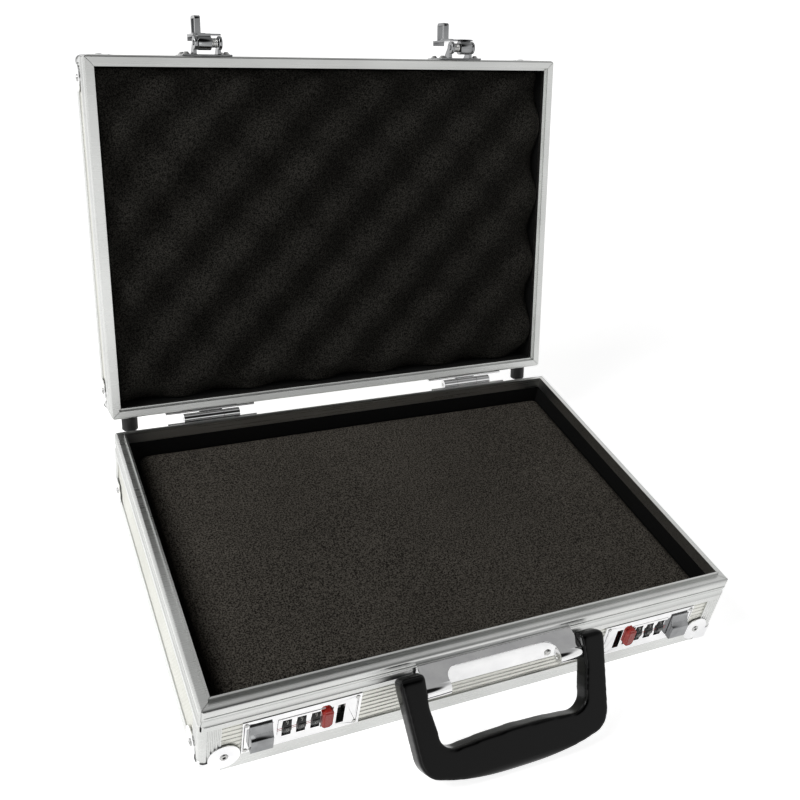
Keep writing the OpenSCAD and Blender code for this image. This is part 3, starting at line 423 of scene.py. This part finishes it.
def soften_edges(node, radius, segments, flat=False):
    """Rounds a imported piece's sharp edges a little; flat keeps the shading of its faces even."""
    obj = frame["nodes"][node]
    weld = obj.modifiers.new("weld", "WELD")
    weld.merge_threshold = SEAM * MM
    bevel = obj.modifiers.new("edge", "BEVEL")
    bevel.width = radius * MM
    bevel.segments = segments
    bevel.limit_method = "ANGLE"
    bevel.angle_limit = EDGE_ANGLE
    bevel.harden_normals = flat
    bevel.use_clamp_overlap = True


def rounded_copy(name, node, mat, voxel, rounds):
    """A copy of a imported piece, remeshed and smoothed, which takes its edges off."""
    obj = bpy.data.objects.new(name, frame["nodes"][node].data.copy())
    bpy.context.scene.collection.objects.link(obj)
    paint(obj, mat)
    select([obj])
    weld = obj.modifiers.new("weld", "WELD")
    weld.merge_threshold = COPY_SEAM * MM
    remesh = obj.modifiers.new("remesh", "REMESH")
    remesh.mode = "VOXEL"
    remesh.voxel_size = voxel * MM
    smooth = obj.modifiers.new("smooth", "SMOOTH")
    smooth.factor = 0.5
    smooth.iterations = rounds
    for step in ("weld", "remesh", "smooth"):
        bpy.ops.object.modifier_apply(modifier=step)
    obj.data.shade_smooth()
    return obj


def closed_to_open(p):
    """Where a point of the closed lid lies on the open lid, in millimetres."""
    dy = p[1] - AXIS_Y
    dz = p[2] - AXIS_Z
    y = AXIS_Y + dy * math.cos(LID_OPEN) + dz * math.sin(LID_OPEN)
    z = AXIS_Z - dy * math.sin(LID_OPEN) + dz * math.cos(LID_OPEN)
    return Vector((p[0], y, z))


def mesh_object(name, points, faces, mat):
    """A mesh from points in millimetres."""
    mesh = bpy.data.meshes.new(name)
    mesh.from_pydata([Vector(p) * MM for p in points], [], faces)
    mesh.validate()
    obj = bpy.data.objects.new(name, mesh)
    bpy.context.scene.collection.objects.link(obj)
    mesh.materials.append(mat)
    return obj


def ease(t):
    """Goes from 0 to 1 with a soft start and end."""
    t = min(max(t, 0.0), 1.0)
    return t * t * (3 - 2 * t)


def lid_foam_height(x, y, hx, hy):
    """Height of the egg-crate surface on the closed lid."""
    wave = math.cos(math.pi * (x + START_X) / PEAK_X) * math.cos(math.pi * (y + START_Y) / PEAK_Y)
    rear = REAR_FALL * (1 - ease((hy - y) / REAR_RUN))
    ends = EDGE_FALL * (1 - ease((hx - abs(x)) / EDGE_RUN))
    front = EDGE_FALL * (1 - ease((hy + y) / EDGE_RUN))
    return BASE_H + PEAK_IN + VALLEY / 2 - VALLEY / 2 * wave + (rear + ends + front)


def make_lid_foam(mat):
    """Egg-crate foam: one closed block with the moulded waves on its face."""
    hx = CASE_W / 2 - FOAM_EDGE
    hy = CASE_D / 2 - FOAM_EDGE
    nx = round(2 * hx / FOAM_STEP)
    ny = round(2 * hy / FOAM_STEP)
    points = []
    faces = []
    for j in range(ny + 1):
        for i in range(nx + 1):
            x = -hx + 2 * hx * i / nx
            y = -hy + 2 * hy * j / ny
            z = lid_foam_height(x, y, hx, hy)
            z += UNEVEN_H * noise.noise(Vector((x, y, 0)) * LID_UNEVEN)
            points.append(closed_to_open((x, y, z)))
    row = nx + 1
    for j in range(ny):
        for i in range(nx):
            a = i + j * row
            faces.append((a, a + row, a + row + 1, a + 1))
    # walls from the face's rim to the plain back
    rim = list(range(row))
    rim += [nx + j * row for j in range(1, ny + 1)]
    rim += [i + ny * row for i in range(nx - 1, -1, -1)]
    rim += [j * row for j in range(ny - 1, 0, -1)]
    first = len(points)
    back = BASE_H + LID_H - FOAM_BACK
    for k in rim:
        x = -hx + 2 * hx * (k % row) / nx
        y = -hy + 2 * hy * (k // row) / ny
        points.append(closed_to_open((x, y, back)))
    n = len(rim)
    for k in range(n):
        faces.append((rim[k], rim[(k + 1) % n], first + (k + 1) % n, first + k))
    faces.append([first + k for k in range(n)])
    obj = mesh_object("lid_wave_foam", points, faces, mat)
    obj.data.shade_smooth()
    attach(obj, "lid")
    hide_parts("lid_foam")


def make_base_pad(mat):
    """Flat pad: the part's pad with soft cut edges and a slightly uneven top."""
    obj = rounded_copy("flat_pad_foam", "base_foam_pad", mat, PAD_VOXEL, PAD_ROUNDS)
    for v in obj.data.vertices:
        if v.co.z > PAD_TOP:
            v.co.z += noise.noise(Vector((v.co.x, v.co.y, 0)) * PAD_UNEVEN) * UNEVEN_H * MM
    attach(obj, "base")
    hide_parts("base_foam_pad")


def make_handle(mat):
    """Moulded handle: the part's handle with the full rounding of a real grip."""
    obj = rounded_copy("rounded_handle", "handle", mat, HANDLE_VOXEL, HANDLE_ROUNDS)
    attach(obj, "handle")
    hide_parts("handle")


def make_numbers(side, which, mat):
    """Ten printed digits on one number wheel; a lock's wheels count from left to right."""
    middle = DIAL_X if side == "left" else -DIAL_X
    axle = Matrix.Translation(Vector((middle + (which - 2) * DIAL_PITCH, DIAL_Y, DIAL_Z)) * MM)
    out = Matrix.Translation((0, -(DIAL_R + DIGIT_OUT) * MM, 0))
    upright = Matrix.Rotation(math.pi / 2, 4, "X")
    digits = []
    for k in range(DIGIT_COUNT):
        bpy.ops.object.text_add()
        text = bpy.context.object
        text.data.body = str(k)
        text.data.size = DIGIT_H * MM
        text.data.align_x = "CENTER"
        text.data.align_y = "CENTER"
        text.data.extrude = DIGIT_INK * MM
        text.data.resolution_u = 3
        bpy.ops.object.convert(target="MESH")
        digit = bpy.context.object
        turn = Matrix.Rotation(math.tau * k / DIGIT_COUNT, 4, "X")
        digit.data.transform(axle @ turn @ out @ upright)
        digits.append(digit)
    obj = join(digits, f"{side}_dial_{which}_numbers", mat)
    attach(obj, f"{side}_dial_{'abc'[which - 1]}")


def make_index_lines(side, mat):
    """The two thin printed red lines that the numbers are lined up with."""
    sign = 1 if side == "left" else -1
    windows = [DIAL_X + i * DIAL_PITCH for i in (-1, 0, 1)]
    spans = [(windows[0] - LINE_START, windows[0] - LINE_CLEAR)]
    spans += [(w + LINE_CLEAR, w + DIAL_PITCH - LINE_CLEAR) for w in windows[:2]]
    spans += [(windows[2] + LINE_CLEAR, windows[2] + DIAL_PITCH / 2 + LINE_PAST)]
    y = (PLATE_FACE - WINDOW_RISE) * MM
    stripes = []
    for x0, x1 in spans:
        for z in (DIAL_Z - LINE_DOWN, DIAL_Z + LINE_UP):
            deselect()
            bpy.ops.mesh.primitive_cube_add(
                size=1,
                location=(sign * (x0 + x1) / 2 * MM, y, z * MM),
                scale=((x1 - x0) * MM, LINE_INK * MM, LINE_H * MM),
            )
            bpy.ops.object.transform_apply()
            bpy.ops.object.mode_set(mode="EDIT")
            bpy.ops.mesh.bevel(offset=LINE_EDGE * MM, segments=2)
            bpy.ops.object.mode_set(mode="OBJECT")
            stripes.append(bpy.context.object)
    obj = join(stripes, f"{side}_index_lines", mat)
    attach(obj, "base")


def make_camera():
    """The photograph's viewpoint, found from the rims of base and lid."""
    place = Vector((-0.33944, -0.55885, 0.62419))
    right = Vector((0.91179, -0.38869, 0.13248))
    down = Vector((-0.11413, -0.54976, -0.82749))
    ahead = Vector((0.39447, 0.73938, -0.54563))
    data = bpy.data.cameras.new("camera")
    data.sensor_width = 36
    data.lens = 44.13
    data.shift_x = 0.0122
    data.shift_y = -0.0308
    data.clip_start = 0.01
    data.clip_end = 50
    cam = bpy.data.objects.new("camera", data)
    bpy.context.scene.collection.objects.link(cam)
    turn = Matrix((right, -down, -ahead)).transposed().to_4x4()
    cam.matrix_world = Matrix.Translation(place) @ turn
    bpy.context.scene.camera = cam


def area_light(name, place, aim, size, watts):
    """A square soft light that looks at a point."""
    data = bpy.data.lights.new(name, "AREA")
    data.shape = "SQUARE"
    data.size = size
    data.energy = watts
    obj = bpy.data.objects.new(name, data)
    bpy.context.scene.collection.objects.link(obj)
    obj.location = place
    obj.rotation_euler = (Vector(aim) - Vector(place)).to_track_quat("-Z", "Y").to_euler()


def make_room():
    """White walls for the camera and for bright metal, and a low even light for all else."""
    world = bpy.data.worlds.new("studio")
    bpy.context.scene.world = world
    world.use_nodes = True
    tree = world.node_tree
    tree.nodes.clear()
    rays = add(tree, "ShaderNodeLightPath")
    way = add(tree, "ShaderNodeTexCoord")
    split = add(tree, "ShaderNodeSeparateXYZ", links={"Vector": way.outputs["Generated"]})
    # what bright metal shows: white walls, a dark part behind the camera and a dimmer ceiling
    up = add(
        tree,
        "ShaderNodeMath",
        {"operation": "MULTIPLY"},
        inputs={1: DARK_UP},
        links={0: split.outputs["Z"]},
    )
    behind = add(
        tree,
        "ShaderNodeMath",
        {"operation": "MULTIPLY_ADD"},
        inputs={1: -DARK_BACK},
        links={0: split.outputs["Y"], 2: up.outputs[0]},
    )
    dark_end = add(
        tree,
        "ShaderNodeMapRange",
        {"interpolation_type": "SMOOTHSTEP"},
        inputs={"From Min": DARK_START, "From Max": DARK_FULL, "To Min": 1.0, "To Max": DARK_LEVEL},
        links={"Value": behind.outputs[0]},
    )
    overhead = add(
        tree,
        "ShaderNodeMapRange",
        {"interpolation_type": "SMOOTHSTEP"},
        inputs={
            "From Min": CEILING_START,
            "From Max": CEILING_FULL,
            "To Min": 1.0,
            "To Max": CEILING_LEVEL,
        },
        links={"Value": split.outputs["Z"]},
    )
    shown = add(
        tree,
        "ShaderNodeMath",
        {"operation": "MULTIPLY"},
        links={0: dark_end.outputs[0], 1: overhead.outputs[0]},
    )
    # camera and transmission rays get plain white, and mirrors the room above
    plain = add(
        tree,
        "ShaderNodeMath",
        {"operation": "MAXIMUM"},
        links={0: rays.outputs["Is Camera Ray"], 1: rays.outputs["Is Transmission Ray"]},
    )
    mirrored = add(
        tree,
        "ShaderNodeMath",
        {"operation": "MULTIPLY_ADD"},
        links={0: rays.outputs["Is Glossy Ray"], 1: shown.outputs[0], 2: plain.outputs[0]},
    )
    seen = add(
        tree,
        "ShaderNodeMath",
        {"operation": "MAXIMUM"},
        links={0: rays.outputs["Is Glossy Ray"], 1: plain.outputs[0]},
    )
    level = add(
        tree,
        "ShaderNodeMapRange",
        inputs={"From Min": 0.0, "From Max": 1.0, "To Min": ROOM_LIGHT, "To Max": 0.0},
        links={"Value": seen.outputs[0]},
    )
    strength = add(
        tree,
        "ShaderNodeMath",
        {"operation": "ADD"},
        links={0: mirrored.outputs[0], 1: level.outputs[0]},
    )
    walls = add(
        tree,
        "ShaderNodeBackground",
        inputs={"Color": (1, 1, 1, 1)},
        links={"Strength": strength.outputs[0]},
    )
    add(tree, "ShaderNodeOutputWorld", links={"Surface": walls.outputs[0]})


def backdrop_paper():
    """Matt white backdrop paper: takes the case's soft shadow, and sweeps up to plain white far away."""
    mat = bpy.data.materials.new("white studio floor")
    mat.use_nodes = True
    tree = mat.node_tree
    tree.nodes.clear()
    rays = add(tree, "ShaderNodeLightPath")
    paper = add(tree, "ShaderNodeBsdfDiffuse", inputs={"Color": (PAPER, PAPER, PAPER, 1)})
    seen = add(
        tree,
        "ShaderNodeMath",
        {"operation": "MAXIMUM"},
        links={0: rays.outputs["Is Camera Ray"], 1: rays.outputs["Is Glossy Ray"]},
    )
    place = add(tree, "ShaderNodeTexCoord")
    away = add(
        tree,
        "ShaderNodeVectorMath",
        {"operation": "LENGTH"},
        links={"Vector": place.outputs["Object"]},
    )
    # a glow for the camera and mirrors alone, which lights nothing and leaves the shadow
    white = add(
        tree,
        "ShaderNodeMapRange",
        inputs={"From Min": SWEEP_START, "From Max": SWEEP_END, "To Min": PAPER, "To Max": 1.0},
        links={"Value": away.outputs["Value"]},
    )
    lift = add(
        tree,
        "ShaderNodeMath",
        {"operation": "MULTIPLY"},
        links={0: seen.outputs[0], 1: white.outputs[0]},
    )
    glow = add(tree, "ShaderNodeEmission", links={"Strength": lift.outputs[0]})
    both = add(tree, "ShaderNodeAddShader", links={0: paper.outputs[0], 1: glow.outputs[0]})
    add(tree, "ShaderNodeOutputMaterial", links={"Surface": both.outputs[0]})
    return mat


def make_floor():
    """Pale floor just under the case."""
    bpy.ops.mesh.primitive_plane_add(size=FLOOR_SIZE, location=(0, 0, -FLOOR_DOWN))
    floor = bpy.context.object
    floor.name = "studio_floor"
    paint(floor, backdrop_paper())


def dress_nodes(mats):
    """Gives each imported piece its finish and, where its edges show, their small rounding."""
    slots = {s["node"]: s["material_slot"] for s in frame["record"]["subparts"]}
    for node, obj in frame["nodes"].items():
        paint(obj, mats[slots[node]])
    hasps = ("left_hasp", "right_hasp")
    slides = ("left_thumb_slide", "right_thumb_slide")
    # a greyer chrome on hasps and slides is painted reflection: it stands for the dark room that their
    # bright chrome mirrors
    for node in (*hasps, "hasp_bases", "hasp_pins", *slides):
        paint(frame["nodes"][node], mats["painted_reflection_chrome"])
    for node in ("left_code_button", "right_code_button", *slides):
        soften_edges(node, radius=0.5, segments=3)
    soften_edges("handle_bracket", radius=0.5, segments=2)
    soften_edges("hasp_bases", radius=0.5, segments=2, flat=True)
    for node in hasps:
        soften_edges(node, radius=1.0, segments=3, flat=True)
    for node in ("lock_plate_left", "lock_plate_right"):
        soften_edges(node, radius=0.8, segments=3, flat=True)


deselect()
mats = finishes()
make_camera()
make_room()
make_floor()
area_light("key", place=(-1.7, 0.0, 1.75), aim=(0, 0.1, 0.15), size=0.9, watts=24)
area_light("fill", place=(-0.6, -2.0, 0.5), aim=(0, 0, 0.05), size=1.0, watts=4)
dress_nodes(mats)
make_base_pad(mats["pad_foam"])
make_lid_foam(mats["lid_foam"])
make_handle(mats["handle_plastic"])
for side in ("left", "right"):
    for which in (1, 2, 3):
        make_numbers(side, which, mats["number_paint"])
    make_index_lines(side, mats["index_paint"])
bpy.context.scene.view_settings.view_transform = "Standard"
